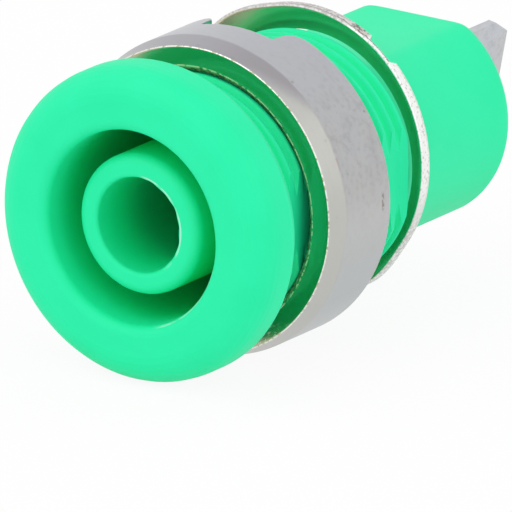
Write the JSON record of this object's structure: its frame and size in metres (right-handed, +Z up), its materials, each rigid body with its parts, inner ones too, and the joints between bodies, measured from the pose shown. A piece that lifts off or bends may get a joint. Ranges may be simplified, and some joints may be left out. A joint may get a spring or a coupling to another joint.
{
  "type": "banana socket",
  "caption": "Shrouded 4 mm banana socket for panel mounting: flanged plastic housing with a threaded barrel, slotted round nut, loose washer and a flat push-on tab.",
  "frame": {"origin": "on the socket's axis, in the plane of the flange's rear face, where it meets the panel", "axes": "+Y along the axis from the plug's mouth to the flat tab, +Z up, +X to the right as seen from the plug's side"},
  "size_m": [0.0148, 0.0308, 0.0148],
  "materials": {
    "green_plastic": "satin moulded polyamide",
    "contact_nickel": "nickel-plated brass, turned",
    "tab_nickel": "nickel-plated brass, stamped",
    "nut_nickel": "nickel-plated brass, satin with small pits",
    "washer_nickel": "nickel-plated, bright stamped rim"
  },
  "bodies": {
    "socket": {"housing": "green_plastic", "contact_sleeve": "contact_nickel", "flat_tab": "tab_nickel", "washer": "washer_nickel"},
    "nut": {"mounting_nut": "nut_nickel"}
  },
  "joints": [
    {"name": "nut_travel", "type": "slide", "parent": "socket", "child": "nut", "axis": [0, 1, 0], "range_m": [-0.0023, 0.004]}
  ]
}
